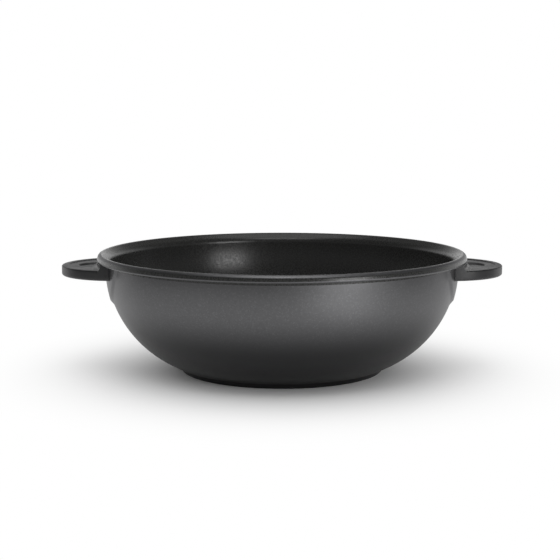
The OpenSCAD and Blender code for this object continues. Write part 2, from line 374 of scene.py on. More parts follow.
def new_group(name, inputs, outputs):
    """A shader node group with named number sockets, and those sockets inside it."""
    group = bpy.data.node_groups.new(name, "ShaderNodeTree")
    for label, default in inputs:
        socket = group.interface.new_socket(name=label, in_out="INPUT",
                                            socket_type="NodeSocketFloat")
        socket.default_value = default
    for label in outputs:
        group.interface.new_socket(name=label, in_out="OUTPUT", socket_type="NodeSocketFloat")
    return (group, group.nodes.new("NodeGroupInput").outputs,
            group.nodes.new("NodeGroupOutput").inputs)


def grain_group():
    """Peel of a sprayed or moulded surface: soft bumps with finer ones on them."""
    group, enter, leave = new_group("Surface grain", [("Size", 1.2 * MM), ("Fine share", 0.35)],
                                    ["Height", "Mottle"])
    fine_size, mottle_size = 1 / 3.1, 1 / 0.45
    coarse = noise(group, enter["Size"], detail=2.0)
    fine = noise(group, product(group, enter["Size"], fine_size), detail=2.0)
    share_left = maths(group, "SUBTRACT", 1.0, enter["Fine share"])
    height = total(group, product(group, coarse, share_left),
                   product(group, fine, enter["Fine share"]))
    mottle = noise(group, product(group, enter["Size"], mottle_size))
    feed(group, height, leave["Height"])
    feed(group, ramp(group, mottle, 0.3, 0.7), leave["Mottle"])
    return group


def flake_group():
    """Flakes: cells with a random value each, of which a share is bright."""
    group, enter, leave = new_group("Flakes", [("Size", 0.8 * MM), ("Share", 0.15)],
                                    ["Mask", "Value"])
    dimmest = 0.35
    cells = group.nodes.new("ShaderNodeTexVoronoi")
    feed(group, object_place(group), cells.inputs["Vector"])
    feed(group, maths(group, "DIVIDE", 1.0, enter["Size"]), cells.inputs["Scale"])
    split = group.nodes.new("ShaderNodeSeparateColor")
    feed(group, cells.outputs["Color"], split.inputs["Color"])
    chosen = maths(group, "LESS_THAN", split.outputs["Red"], enter["Share"])
    bright = ramp(group, split.outputs["Green"], 0.0, 1.0, dimmest, 1.0)
    feed(group, product(group, chosen, bright), leave["Mask"])
    feed(group, split.outputs["Blue"], leave["Value"])
    return group


def marks_group():
    """Large soft patches that handling leaves in a surface's gloss."""
    group, enter, leave = new_group("Handling marks", [("Size", 40 * MM)], ["Mask"])
    patch = noise(group, enter["Size"], detail=4.0, roughness=0.6)
    feed(group, ramp(group, patch, 0.35, 0.7), leave["Mask"])
    return group


def wear_and_sheen_group():
    """Edges that stand proud, broken up by noise, for wear and a painted sheen."""
    group, enter, leave = new_group("Edge wear", [("Reach", 0.04), ("Size", 4 * MM)], ["Mask"])
    least, most = 0.515, 0.52  # pointiness where wear and sheen start, and are full at no reach
    geometry = group.nodes.new("ShaderNodeNewGeometry")
    full = total(group, most, enter["Reach"])
    edge = ramp(group, geometry.outputs["Pointiness"], least, full)
    broken = ramp(group, noise(group, enter["Size"]), 0.3, 0.65)
    feed(group, product(group, edge, broken, clamp=True), leave["Mask"])
    return group


def placed(tree, group, **values):
    """Outputs of a group that has values for its sockets."""
    node = tree.nodes.new("ShaderNodeGroup")
    node.node_tree = group
    return preset(node, **values).outputs


def new_material(name):
    """A material with its tree and its Principled shader."""
    material = bpy.data.materials.new(name)
    material.use_nodes = True
    tree = material.node_tree
    return material, tree, tree.nodes["Principled BSDF"]


def scaled(colour, k):
    return tuple(min(c * k, 1.0) for c in colour)


def mixed(tree, factor, low, high):
    """A colour between two, which may be colours or sockets."""
    node = tree.nodes.new("ShaderNodeMix")
    node.data_type = "RGBA"
    feed(tree, factor, node.inputs["Factor"])
    for socket, colour in (("A", low), ("B", high)):
        target = [s for s in node.inputs if s.name == socket and s.type == "RGBA"][0]
        if hasattr(colour, "links"):
            feed(tree, colour, target)
        else:
            target.default_value = (*colour, 1.0)
    return [s for s in node.outputs if s.type == "RGBA"][0]


def varied(tree, factor, colour, low, high):
    """A colour that goes from low to high times itself."""
    return mixed(tree, factor, scaled(colour, low), scaled(colour, high))


def laid(tree, base, mask, colour, strength):
    """A colour laid over another through a mask."""
    return mixed(tree, product(tree, mask, strength), base, colour)


def finished(made, base, rough, parts, height, bumps, metallic=0.0):
    """A material with its colour, its roughness with an amount of each part added,
    and bumps of up to a height."""
    material, tree, shader = made
    feed(tree, base, shader.inputs["Base Color"])
    preset(shader, Metallic=metallic)
    gloss = None
    for socket, much in parts:
        part = product(tree, socket, much)
        gloss = total(tree, gloss, part) if gloss else part
    feed(tree, total(tree, gloss, rough), shader.inputs["Roughness"])
    node = preset(tree.nodes.new("ShaderNodeBump"), Distance=bumps, Strength=1.0)
    feed(tree, height, node.inputs["Height"])
    feed(tree, node.outputs["Normal"], shader.inputs["Normal"])
    return material


# ---- materials

class Finishes:
    """The wok's materials, made once from the chosen colours."""
    PAINTED_SHADE_HEIGHTS = (37 * MM, 80 * MM)  # painted shade: the coat's colour is darkened below, full above
    PAINTED_SHADE_SHARE = 0.35  # its colour there, as a share
    PAINTED_HIGHLIGHT_HEIGHTS = (112 * MM, 114 * MM)  # painted highlight: the coat is full below, lighter above
    PAINTED_HIGHLIGHT_SHARE = 1.6
    TURNING_PITCH = 1 / 2600  # metres from line to line, under the foot

    def __init__(self, finish):
        self.grain = grain_group()
        self.flakes = flake_group()
        self.marks = marks_group()
        self.wear_and_sheen = wear_and_sheen_group()
        self.coat = self.outer_coat(finish)
        self.lining = self.nonstick(finish)
        self.plastic = self.moulded(finish)
        self.bare = self.turned(finish)
        self.steel = self.stainless(finish)

    def outer_coat(self, finish):
        """Metallic coat with flakes, with painted shade low on the wall and a painted highlight
        on the crest.
        """
        made = new_material("metallic outer coat")
        tree = made[1]
        grain = placed(tree, self.grain, Size=1.1 * MM, Fine_share=0.4)
        flakes = placed(tree, self.flakes, Size=0.9 * MM, Share=finish.flake_share)
        marks = placed(tree, self.marks, Size=60 * MM)
        wear_and_sheen = placed(tree, self.wear_and_sheen, Reach=0.06, Size=5 * MM)
        height = axes(tree, object_place(tree))["Z"]
        base = varied(tree, grain["Mottle"], finish.coat, low=0.96, high=1.04)
        base = mixed(tree, flakes["Mask"], base, finish.flake)
        # edge wear, and a painted highlight on the rim's edges
        base = laid(tree, base, wear_and_sheen["Mask"], finish.flake, strength=0.15)
        # painted shade: the colour darkens towards the foot
        base = mixed(tree, ramp(tree, height, *self.PAINTED_SHADE_HEIGHTS),
                     scaled(finish.coat, self.PAINTED_SHADE_SHARE), base)
        # painted highlight: lighter colour on the crest
        base = mixed(tree, ramp(tree, height, *self.PAINTED_HIGHLIGHT_HEIGHTS), base,
                     scaled(finish.coat, self.PAINTED_HIGHLIGHT_SHARE))
        return finished(made, base, height=grain["Height"], bumps=0.02 * MM, metallic=1.0,
                        rough=0.42, parts=((marks["Mask"], 0.03), (grain["Mottle"], 0.02)))

    def nonstick(self, finish):
        """Satin black coat with a few dim flakes that vary its gloss."""
        made = _, tree, shader = new_material("nonstick lining")
        grain = placed(tree, self.grain, Size=1.1 * MM, Fine_share=0.3)
        flakes = placed(tree, self.flakes, Size=1.1 * MM, Share=0.05)
        marks = placed(tree, self.marks, Size=80 * MM)
        dim = scaled(finish.flake, 0.17)
        base = varied(tree, grain["Mottle"], finish.lining, low=0.93, high=1.07)
        base = mixed(tree, flakes["Mask"], base, dim)
        preset(shader, Specular_IOR_Level=0.45)
        return finished(made, base, height=grain["Height"], bumps=0.02 * MM,
                        rough=0.19, parts=((marks["Mask"], 0.03), (flakes["Value"], 0.16)))

    def moulded(self, finish):
        """Satin plastic, glossier where hands have worn its edges, and paler there with a
        painted sheen.
        """
        made = new_material("moulded grip plastic")
        tree = made[1]
        grain = placed(tree, self.grain, Size=0.5 * MM, Fine_share=0.4)
        marks = placed(tree, self.marks, Size=25 * MM)
        wear_and_sheen = placed(tree, self.wear_and_sheen, Reach=0.05, Size=3 * MM)
        worn_and_sheen = scaled(finish.plastic, 2.2)
        base = varied(tree, grain["Mottle"], finish.plastic, low=0.9, high=1.12)
        base = laid(tree, base, wear_and_sheen["Mask"], worn_and_sheen, strength=0.3)
        return finished(made, base, height=grain["Height"], bumps=0.025 * MM,
                        rough=0.38, parts=((marks["Mask"], 0.07), (wear_and_sheen["Mask"], -0.08)))

    def turned(self, finish):
        """Bare metal with fine turning lines round the axis."""
        made = new_material("turned bare metal")
        tree = made[1]
        place = axes(tree, object_place(tree))
        square = total(tree, maths(tree, "POWER", place["X"], 2.0),
                       maths(tree, "POWER", place["Y"], 2.0))
        join = tree.nodes.new("ShaderNodeCombineXYZ")
        feed(tree, maths(tree, "SQRT", square), join.inputs["X"])
        lines = noise(tree, self.TURNING_PITCH, detail=2.0, roughness=0.5,
                      place=join.outputs[0])
        marks = placed(tree, self.marks, Size=30 * MM)
        grain = placed(tree, self.grain, Size=0.8 * MM, Fine_share=0.5)
        dull = scaled(finish.bare, 0.6)
        base = varied(tree, lines, finish.bare, low=0.8, high=1.0)
        base = laid(tree, base, marks["Mask"], dull, strength=0.4)
        return finished(made, base, height=lines, bumps=0.03 * MM, metallic=1.0,
                        rough=0.3, parts=((grain["Mottle"], 0.1),))

    def stainless(self, finish):
        """Plain steel with bright edges: wear and a painted sheen."""
        made = new_material("stainless steel")
        tree = made[1]
        grain = placed(tree, self.grain, Size=0.35 * MM, Fine_share=0.5)
        wear_and_sheen = placed(tree, self.wear_and_sheen, Reach=0.05, Size=1 * MM)
        bright = scaled(finish.steel, 1.3)
        base = varied(tree, grain["Mottle"], finish.steel, low=0.85, high=1.0)
        base = mixed(tree, wear_and_sheen["Mask"], base, bright)
        return finished(made, base, height=grain["Height"], bumps=0.01 * MM, metallic=1.0,
                        rough=0.22, parts=((grain["Mottle"], 0.12),))


finishes = None


def get_finishes(context):
    """The materials, which the first piece that asks for them makes."""
    global finishes
    if finishes is None:
        finishes = Finishes(context.scene.wok_finish)
    return finishes


# ---- the bowl

class BowlForm:
    """Section of the bowl, worked out from its sizes."""
    FLOOR_INSET = 1.7 * MM  # inner curve's end, in from the foot's edge
    FOOT_EDGE = ((-0.45, 0.2), (-0.1, 0.7), (0.1, 1.2))  # mm out, mm up
    FOOT_SIDE = (0.3, 0.6, 0.85)
    SIDE_START = 0.2  # as a share of the foot's height
    CONTACT_W = 13 * MM  # smooth ring with its chamfer
    CONTACT_PLACES = (6 * MM, 1 * MM)
    RECESS_R = 14 * MM
    GROOVE_PITCH = 9 * MM
    GROOVE_W = 1.6 * MM
    GROOVE_DEPTH = 0.5 * MM
    GROOVE_SLOPE = 0.12 * MM  # half width of its side
    PAINTED_SHADE_RISE = 0.7 * MM  # from the belly to the painted shade under the lip, a band in the lining's dark colour
    SEAT_DEPTH = 35 * MM  # from its outermost point in to its end
    SEAT_PLANE_IN = 12.3 * MM  # and in to the plane of its outline
    SEAT_FLARE = 1.3  # growth of the outline towards the axis

    def __init__(self, s):
        self.s = s
        self.wall_r = s.rim_r - s.overhang
        self.lip_z = s.height - s.lip_h
        self.belly_z = s.height - s.belly_drop
        self.painted_shade_z = self.belly_z + self.PAINTED_SHADE_RISE
        self.foot_top = s.foot_r + s.foot_flare
        self.belly_r = arc_radius(self.wall_r - self.foot_top, self.belly_z - s.foot_h)
        self.belly_x = self.wall_r - self.belly_r
        self.throat_r = self.wall_r - s.wall_t
        self.land_up = (-math.sin(s.land_fall), math.cos(s.land_fall))
        self.land_end = 90 + math.degrees(s.land_fall)
        self.lip_edge = (s.rim_r - s.lip_low_round, self.lip_z + s.lip_low_round)
        high = s.height - s.crest_r
        lean_in = (s.crest_r - s.lip_low_round
                   + (high - self.lip_edge[1]) * math.sin(s.lip_lean)) / math.cos(s.lip_lean)
        self.crest = (self.lip_edge[0] - lean_in, high)
        inward = self.crest[0] - self.throat_r - s.flare_r
        self.flare = (self.throat_r + s.flare_r,
                      self.crest[1] + (s.crest_r - s.flare_r) / self.land_up[1]
                      - inward * math.tan(s.land_fall))
        self.inner_r = arc_radius(self.throat_r - s.foot_r + self.FLOOR_INSET,
                                  self.belly_z - s.base_t)
        self.inner_x = self.throat_r - self.inner_r
        reach = self.inner_r - s.sweep_r
        drop = self.belly_z - s.base_t - s.sweep_r
        self.sweep_x = self.inner_x + math.sqrt(reach * reach - drop * drop)
        self.sweep_a = math.degrees(math.asin(drop / reach))
        self.seat_r = self.wall_r + s.seat_rise
        self.seat_belly = self.belly_r + s.seat_flatness
        self.seat_x = self.seat_r - self.seat_belly
        self.seat_near = self.seat_r - self.SEAT_DEPTH

    def underside(self):
        """Turned face of the foot, from its centre outwards."""
        depth, width, slope = self.GROOVE_DEPTH, self.GROOVE_W, self.GROOVE_SLOPE
        outer = self.s.foot_r - self.CONTACT_W
        count = int(round((outer - self.RECESS_R) / self.GROOVE_PITCH, 4))
        points = [(0, depth), (self.RECESS_R / 2, depth), (self.RECESS_R - slope, depth),
                  (self.RECESS_R + slope, 0)]
        for i in reversed(range(count)):
            r = outer - i * self.GROOVE_PITCH
            points += [(r - width - slope, 0), (r - width + slope, depth),
                       (r - slope, depth), (r + slope, 0)]
        return points + [(self.s.foot_r - inset, 0) for inset in self.CONTACT_PLACES]

    def outside(self):
        """From the foot's edge up the wall and over the crest to the land.
        Returns the points and the range of those that a seat can move."""
        s = self.s
        foot_a = -math.degrees(math.asin((self.belly_z - s.foot_h) / self.belly_r))
        points = [(s.foot_r + out * MM, up * MM) for out, up in self.FOOT_EDGE]
        points += [(s.foot_r + s.foot_flare * k,
                    s.foot_h * (self.SIDE_START + (1 - self.SIDE_START) * k))
                   for k in self.FOOT_SIDE]
        first = len(points)
        points += arc(self.belly_x, self.belly_z, self.belly_r, foot_a + 0.4, 0, steps=110)
        points.append((self.wall_r, self.painted_shade_z))
        points += arc(self.wall_r + s.lip_fillet, self.lip_z - s.lip_fillet, s.lip_fillet,
                      180, 90, steps=6)
        moved = range(first, len(points))
        lean = math.degrees(s.lip_lean)
        points += arc(*self.lip_edge, s.lip_low_round, -90, lean, steps=10)
        points += arc(*self.crest, s.crest_r, lean, self.land_end, steps=24)
        return points, moved

    def inside(self, skin):
        """From the crest down the land and the inner wall to the floor's centre,
        with the lining's thickness taken off."""
        s = self.s
        points = [tuple(c + (s.crest_r - skin) * n for c, n in zip(self.crest, self.land_up))]
        points += arc(*self.flare, s.flare_r - skin, self.land_end, 180, steps=16)
        points += arc(self.inner_x, self.belly_z, self.inner_r + skin, 0, -self.sweep_a,
                      steps=60)
        points += arc(self.sweep_x, s.base_t + s.sweep_r, s.sweep_r + skin,
                      -self.sweep_a, -90, steps=24)[1:]
        low = s.base_t - skin
        return points + [(self.sweep_x * k, low) for k in (0.8, 0.6, 0.4, 0.2, 0)]

    def seat_shift(self, r, z, angle):
        """How far a seat raises the wall at a place."""
        side, across = abs(math.cos(angle)), abs(math.sin(angle))
        wall = min(r, self.wall_r)
        if wall * side < self.seat_near:
            return 0.0
        below = self.belly_z - min(z, self.belly_z)
        out = self.seat_x + math.sqrt(self.seat_belly ** 2 - below ** 2)
        rise = out - wall
        if rise <= 0:
            return 0.0

        def past_outline(radius):
            grow = (self.seat_r - self.SEAT_PLANE_IN - radius * side) * self.SEAT_FLARE
            wide, deep = self.s.seat_half_w + grow, self.s.seat_drop + grow
            if wide <= 0 or deep <= 0:
                return 1.0
            return (radius * across / wide) ** 2 + ((self.s.height - z) / deep) ** 2 - 1

        at_wall, at_seat = past_outline(wall), past_outline(out)
        if at_wall >= 0:
            return 0.0
        if at_seat <= 0:
            return rise
        return rise * smooth(-at_wall / (at_seat - at_wall))


class WOK_OT_bowl(bpy.types.Operator):
    """Makes the cast bowl with its lip, foot, seats and lugs"""
    bl_idname = "wok.make_bowl"
    bl_label = "Cast bowl"

    BARE_INSET = 0.9 * MM  # bare face's edge, in from the foot's
    BARE_HIGH = 0.6 * MM  # and its top
    PAINTED_HIGHLIGHT_RING = (0.6 * MM, 3.55 * MM)  # painted highlight: grey coat on a ring, out from the crest's centre
    LIP_MARGIN = 0.2 * MM  # dark face's start, up the lip's edge
    PAINTED_SHADE_MARGIN = 0.02 * MM  # painted shade band's end, above the lip's foot
    LUG_ROOT = 2.3 * MM  # from the throat to its start
    LUG_L = 17.4 * MM
    LUG_W = 44 * MM
    LUG_T = 4 * MM
    LUG_CORNER_R = 5 * MM
    TAPPED_R = 2.55 * MM

    def execute(self, context):
        sizes = context.scene.wok_bowl
        form = BowlForm(sizes)
        under = form.underside()
        outer, moved = form.outside()
        profile = under + outer + form.inside(sizes.coat_t)

        def shift(k, r, z, angle):
            return form.seat_shift(r, z, angle) if k - len(under) in moved else 0.0

        bowl = revolved("wok_bowl", profile, sizes.steps, shift)
        for side in (1, -1):
            cut(bowl, self.lug(form, side), "UNION")
        tidy_mesh(bowl.data)
        made = get_finishes(context)
        dress(bowl, "cast_bowl", "cast_alloy", made.coat, made.bare, made.lining)
        for face in bowl.data.polygons:
            face.material_index = self.finish_at(form, face.center)
        return {"FINISHED"}

    def finish_at(self, form, place):
        """Material slot of a place on the bowl."""
        r, z = math.hypot(place.x, place.y), place.z
        # painted highlight: the lighter coat on a ring of the crest
        low, high = self.PAINTED_HIGHLIGHT_RING
        if low < r - form.crest[0] < high and z > form.crest[1]:
            return COAT
        on_lip = z > form.lip_edge[1] + self.LIP_MARGIN
        # painted shade: the dark lining colour on a band under the lip
        if on_lip or form.painted_shade_z < z < form.lip_z + self.PAINTED_SHADE_MARGIN:
            return LINING
        if z < self.BARE_HIGH and r < form.s.foot_r - self.BARE_INSET:
            return BARE
        return COAT

    def lug(self, form, side):
        """The cast tongue inside a grip, with its tapped hole."""
        low, high = SCREW_HIGH.z - self.LUG_T, SCREW_HIGH.z
        near, far = form.throat_r + self.LUG_ROOT, form.seat_r + self.LUG_L
        half, r = self.LUG_W / 2, self.LUG_CORNER_R
        outline = [(near, -half)]
        outline += arc(far - r, -half + r, r, -90, 0, steps=10)
        outline += arc(far - r, half - r, r, 0, 90, steps=10)
        outline += [(near, half)]
        verts = [(side * x, y, z) for z in (low, high) for x, y in outline]
        tongue = make_object("lug", verts, tube_faces(len(outline), 1))
        hole = [(0, low - OVERRUN), (self.TAPPED_R, low - OVERRUN),
                (self.TAPPED_R, high + OVERRUN), (0, high + OVERRUN)]
        return cut(tongue, revolved("hole", hole, 48, x=side * SCREW_X))


class WOK_OT_lining(bpy.types.Operator):
    """Makes the nonstick lining, from the floor up to the crest of the rim"""
    bl_idname = "wok.make_lining"
    bl_label = "Nonstick lining"

    def execute(self, context):
        sizes = context.scene.wok_bowl
        form = BowlForm(sizes)
        profile = list(reversed(form.inside(sizes.coat_t))) + form.inside(0.0)
        lining = revolved("wok_lining", profile, sizes.steps)
        dress(lining, "nonstick_coating", "nonstick", get_finishes(context).lining)
        return {"FINISHED"}


# ---- the grips

class GripForm:
    """The right grip as columns round the bowl's axis."""
    COLUMNS = 260
    CLEAR = 0.02 * MM  # the outermost columns' distance from the wall
    SLOPE = 1.4 * MM
    THUMB_SLOPE = 1.8 * MM
    SLOPE_LEAD = 0.2 * MM  # their start outside their outlines
    LIP_CHAMFER = 0.3 * MM  # under the lip's edge
    UNDER_INSETS = (40, 28, 18, 10, 5)  # mm in from the outline
    SIDE_PLACES = (0.35, 0.7)
    TOP_INSETS = (2, 3.5, 5.2, 5.5, 5.8, 6.1, 6.4, 6.7, 7.0, 7.4, 8)  # mm
    TOP_STEPS = 60  # from there in to the toe
    WALL_STEPS = 8
    QUARTER = spread(0, math.pi / 2, 6)  # angles round an edge

    def __init__(self, bowl, s):
        self.bowl, self.s = bowl, s
        self.centre = s.reach - s.outline_r
        self.low = s.top - s.plate_t
        self.under_lip = bowl.lip_z - s.gap
        self.rim = bowl.s.rim_r
        self.toe = self.rim + s.fillet
        self.thumb = s.reach - s.thumb_back

    def wall(self, z):
        """Distance from the axis to the grip's inner side, along the seat."""
        b = self.bowl
        r = b.seat_belly + self.s.gap
        return b.seat_x + math.sqrt(r * r - (b.belly_z - min(z, b.belly_z)) ** 2)

    def outline(self, angle, inset=0.0):
        """Distance from the axis to the outline drawn in by inset, or None past it."""
        r = self.s.outline_r - inset
        across = self.centre * math.sin(angle)
        if r <= abs(across):
            return None
        return self.centre * math.cos(angle) + math.sqrt(r * r - across * across)

    def top(self, r, angle, edge):
        """Height of the plate's top, with its border, field and thumb recess."""
        s = self.s
        x, y = r * math.cos(angle), r * math.sin(angle)
        inset = s.outline_r - math.hypot(x - self.centre, y)
        clear = smooth((r - self.toe) / self.SLOPE)
        in_field = smooth((inset - s.border + self.SLOPE_LEAD) / self.SLOPE)
        thumb = s.thumb_r - math.hypot(x - self.thumb, y)
        in_thumb = smooth((thumb + self.SLOPE_LEAD) / self.THUMB_SLOPE)
        z = s.top - s.field * in_field * clear - s.thumb_depth * in_thumb * clear
        if inset < edge:
            z -= edge - math.sqrt(max(edge * edge - (edge - inset) ** 2, 0.0))
        return z

    def column(self, angle):
        """Closed section of the grip at an angle round the bowl's axis."""
        s = self.s
        out = self.outline(angle)
        inner = self.wall(self.low)
        toe, rim = min(self.toe, out), min(self.rim, out)

        def at(inset, least):
            """Distance from the axis at an inset, and no less than least."""
            r = self.outline(angle, inset)
            return min(max(r if r is not None else least, least), out)

        points = [(self.wall(z), z) for z in spread(self.under_lip, self.low, self.WALL_STEPS)]
        points += [(at(d * MM, inner), self.low) for d in self.UNDER_INSETS]
        points += [(at(s.low_round * (1 - math.sin(a)), inner),
                    self.low + s.low_round * (1 - math.cos(a))) for a in self.QUARTER]
        side_h = s.top - s.top_round - self.low - s.low_round
        points += [(out, self.low + s.low_round + side_h * k) for k in self.SIDE_PLACES]
        edge = min(s.top_round, max(out - self.toe, SHORT))
        insets = sorted(edge * (1 - math.sin(a)) for a in self.QUARTER)
        insets += [d * MM for d in self.TOP_INSETS]
        reaches = [at(d, toe) for d in insets]
        reaches += spread(reaches[-1], toe, self.TOP_STEPS)[1:]
        points += [(r, self.top(r, angle, edge)) for r in reaches]
        points += [(min(self.toe - s.fillet * math.sin(a), out),
                    s.top + s.fillet * (1 - math.cos(a)))
                   for a in spread(0, math.pi / 2, 8)[1:]]
        points += [(rim, self.under_lip - self.LIP_CHAMFER),
                   (min(self.rim - self.LIP_CHAMFER, out), self.under_lip),
                   ((self.wall(self.under_lip) + rim) / 2, self.under_lip)]
        return points

    def mesh(self):
        """Vertices and faces, between the angles where the outline meets the wall."""
        near = self.wall(self.under_lip) + self.CLEAR
        widest = math.acos((near ** 2 + self.centre ** 2 - self.s.outline_r ** 2)
                           / (2 * near * self.centre))
        verts = []
        for turn in spread(-math.pi / 2, math.pi / 2, self.COLUMNS):
            angle = widest * math.sin(turn)
            verts += [(r * math.cos(angle), r * math.sin(angle), z)
                      for r, z in self.column(angle)]
        return verts, tube_faces(len(verts) // (self.COLUMNS + 1), self.COLUMNS)


class WOK_OT_grips(bpy.types.Operator):
    """Makes both moulded grips"""
    bl_idname = "wok.make_grips"
    bl_label = "Grips"

    BOSS_EDGE = 0.8 * MM
    BOSS_FILLET = 1 * MM
    BOSS_SUNK = 0.5 * MM  # its reach into the plate
    HEAD_HOLE_R = 5.0 * MM
    MOUTH_CHAMFER = 0.4 * MM
    HOLE_GAP = 0.4 * MM
    BORE_H = 7 * MM  # screw's hole, above the underside

    def execute(self, context):
        s = context.scene.wok_grip
        form = GripForm(BowlForm(context.scene.wok_bowl), s)
        grip = make_object("wok_grip_right", *form.mesh())
        cut(grip, revolved("boss", self.boss(s, form.low), 96, x=SCREW_X), "UNION")
        cut(grip, revolved("bore", self.hole(s, form.low), 72, x=SCREW_X))
        tidy_mesh(grip.data, sharp=32)
        dress_pair(grip, "grip", "grip_plastic", get_finishes(context).plastic)
        return {"FINISHED"}

    def boss(self, s, low):
        """Section of the screw boss, below the plate's underside at low."""
        mouth, edge, fillet = GRIP_LOW.z, self.BOSS_EDGE, self.BOSS_FILLET
        points = [(0, mouth), (s.boss_r - edge, mouth)]
        points += arc(s.boss_r - edge, mouth + edge, edge, -90, 0, steps=6)[1:]
        points += [(s.boss_r, low - fillet)]
        points += arc(s.boss_r + fillet, low - fillet, fillet, 180, 120, steps=4)[1:]
        return points + [(s.boss_r + fillet, low + self.BOSS_SUNK), (0, low + self.BOSS_SUNK)]

    def hole(self, s, low):
        """Section of the stepped hole for the screw and its head."""
        mouth, wide, chamfer = GRIP_LOW.z, self.HEAD_HOLE_R, self.MOUTH_CHAMFER
        bore = s.screw_d / 2 + self.HOLE_GAP
        return [(0, mouth - OVERRUN), (wide + chamfer, mouth - OVERRUN),
                (wide + chamfer, mouth), (wide, mouth + chamfer), (wide, low), (bore, low),
                (bore, low + self.BORE_H), (0, low + self.BORE_H)]


class WOK_OT_fasteners(bpy.types.Operator):
    """Makes the screws and the spring washers"""
    bl_idname = "wok.make_fasteners"
    bl_label = "Fasteners"

    HEAD_H = 2.5 * MM
    HEAD_DOME = ((0.45, 0.12), (0.7, 0.34), (0.88, 0.62))  # share of the radius, mm up
    HEAD_ROUND = 0.45 * MM
    HEAD_ROUND_Z = 1.2 * MM  # height of that radius's centre
    HEAD_CHAMFER = (0.2 * MM, 0.25 * MM)  # under the head: in, and down
    NECK = 0.3 * MM  # from the shank out to the neck's fillet
    THREAD_DEPTH = 0.42 * MM
    THREAD_SHARE = 0.98
    THREAD_ROWS = 10
    POINT_L = 0.6 * MM
    POINT_IN = 0.5 * MM
    CROSS_HALF_L, CROSS_HALF_W, CROSS_DEPTH = 2.6 * MM, 0.6 * MM, 1.5 * MM
    CROSS_OVER = 0.5 * MM  # its cutter's start outside the head
    CROSS_TAPER = (1.1, 0.55)  # arm's length there and at the bottom
    WASHER_BEVEL = 0.12 * MM
    WASHER_GAP = 0.2 * MM
    WASHER_ENDS = (8, 352)
    WASHER_SLANT = 0.9  # of the ends, for each unit of height
    WASHER_STEPS = 90

    def execute(self, context):
        s = context.scene.wok_grip
        steel = get_finishes(context).steel
        screw, washer = self.screw(s), self.washer(s)
        dress_pair(screw, "grip_screw", "steel", steel)
        dress_pair(washer, "spring_washer", "steel", steel)
        return {"FINISHED"}

    def screw(self, s):
        """Pan-head screw, head downwards, with a rolled thread and a cross recess."""
        r, shank = (SCREW_HIGH.y - SCREW_LOW.y) / 2, s.screw_d / 2
        z, top = SCREW_LOW.z, SCREW_HIGH.z
        head = z + self.HEAD_H
        inward, down = self.HEAD_CHAMFER
        profile = [(0, z)] + [(r * k, z + up * MM) for k, up in self.HEAD_DOME]
        profile += arc(r - self.HEAD_ROUND, z + self.HEAD_ROUND_Z, self.HEAD_ROUND, -45, 0,
                       steps=4)
        profile += [(r, head - down), (r - inward, head), (shank + self.NECK, head)]
        first = len(profile)
        rows = int((top - head) / (s.pitch / self.THREAD_ROWS))
        profile += [(shank, height) for height in spread(head, top, rows)]
        last = len(profile) - 1
        profile.append((0, top))

        def thread(k, radius, height, angle):
            if not first < k <= last:
                return 0.0
            turn = (height - head) / s.pitch - angle / (2 * math.pi)
            depth = self.THREAD_DEPTH * abs(2 * (turn % 1.0) - 1)
            fade = smooth((height - head) / s.pitch) * self.THREAD_SHARE
            end = smooth((height - top + self.POINT_L) / self.POINT_L) * self.POINT_IN
            return -depth * fade - end

        screw = revolved("screw_right", profile, 96, thread, SCREW_X, sharp=40)
        for turn in (0.0, math.pi / 2):
            cut(screw, self.cross_arm(z, turn))
        tidy_mesh(screw.data, sharp=40)
        return screw

    def cross_arm(self, z, turn):
        """Cutter for one arm of the cross recess in a head that starts at z."""
        long, wide = self.CROSS_HALF_L, self.CROSS_HALF_W
        heights = (z - self.CROSS_OVER, z + self.CROSS_DEPTH)
        verts = []
        for height, k in zip(heights, self.CROSS_TAPER):
            for a, b in ((-long, -wide), (long, -wide), (long, wide), (-long, wide)):
                verts.append((SCREW_X + a * k * math.cos(turn) - b * math.sin(turn),
                              a * k * math.sin(turn) + b * math.cos(turn), height))
        return make_object("cross", verts, tube_faces(4, 1))

    def washer(self, s):
        """Split spring washer, pressed flat, with its ends cut on a slant."""
        low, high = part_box("right_spring_washer")
        outer, inner = (high.y - low.y) / 2, s.screw_d / 2 + self.WASHER_GAP
        bevel = self.WASHER_BEVEL
        section = [(inner + bevel, low.z), (outer - bevel, low.z), (outer, low.z + bevel),
                   (outer, high.z - bevel), (outer - bevel, high.z), (inner + bevel, high.z),
                   (inner, high.z - bevel), (inner, low.z + bevel)]
        middle = (low.z + high.z) / 2
        verts = []
        for turn in spread(*self.WASHER_ENDS, self.WASHER_STEPS):
            for r, z in section:
                a = math.radians(turn) + (z - middle) * self.WASHER_SLANT / r
                verts.append((SCREW_X + r * math.cos(a), r * math.sin(a), z))
        return make_object("washer_right", verts, tube_faces(len(section), self.WASHER_STEPS),
                           sharp=30)


# ---- the studio

